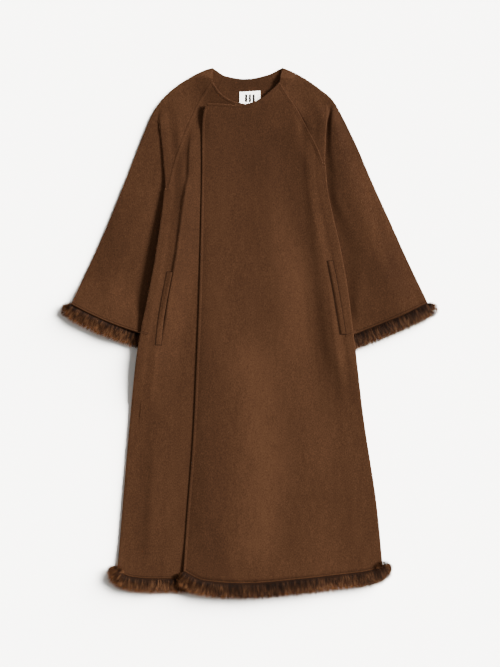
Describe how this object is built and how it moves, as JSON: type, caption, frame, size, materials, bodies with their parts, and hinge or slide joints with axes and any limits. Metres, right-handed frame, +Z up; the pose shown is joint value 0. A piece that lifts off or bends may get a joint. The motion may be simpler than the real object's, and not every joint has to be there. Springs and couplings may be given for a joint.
{
  "type": "wool coat",
  "caption": "Long collarless A-line wool coat with raglan bell sleeves, slanted welt pockets and short fur at hem and cuffs, laid flat with one front lapped over the other.",
  "frame": {"origin": "middle of the coat's box, on the surface it lies on", "axes": "+Y along the coat from hem to neck, +X to the wearer's left, +Z up from the surface"},
  "size_m": [0.88, 1.2494, 0.024],
  "materials": {
    "wool": "brown double-faced wool, brushed short nap, matt",
    "fur": "short dense dark brown fur with lighter tips",
    "label": "off-white woven ribbon"
  },
  "bodies": {
    "root": {"back": "wool", "front_right": "wool", "front_left": "wool", "sleeve_right_front": "wool", "sleeve_right_back": "wool", "sleeve_left_front": "wool", "sleeve_left_back": "wool", "welt_right": "wool", "welt_left": "wool", "fur_hem_back": "fur", "fur_hem_right": "fur", "fur_hem_left": "fur", "fur_cuff_right_front": "fur", "fur_cuff_right_back": "fur", "fur_cuff_left_front": "fur", "fur_cuff_left_back": "fur", "label": "label"}
  },
  "joints": []
}
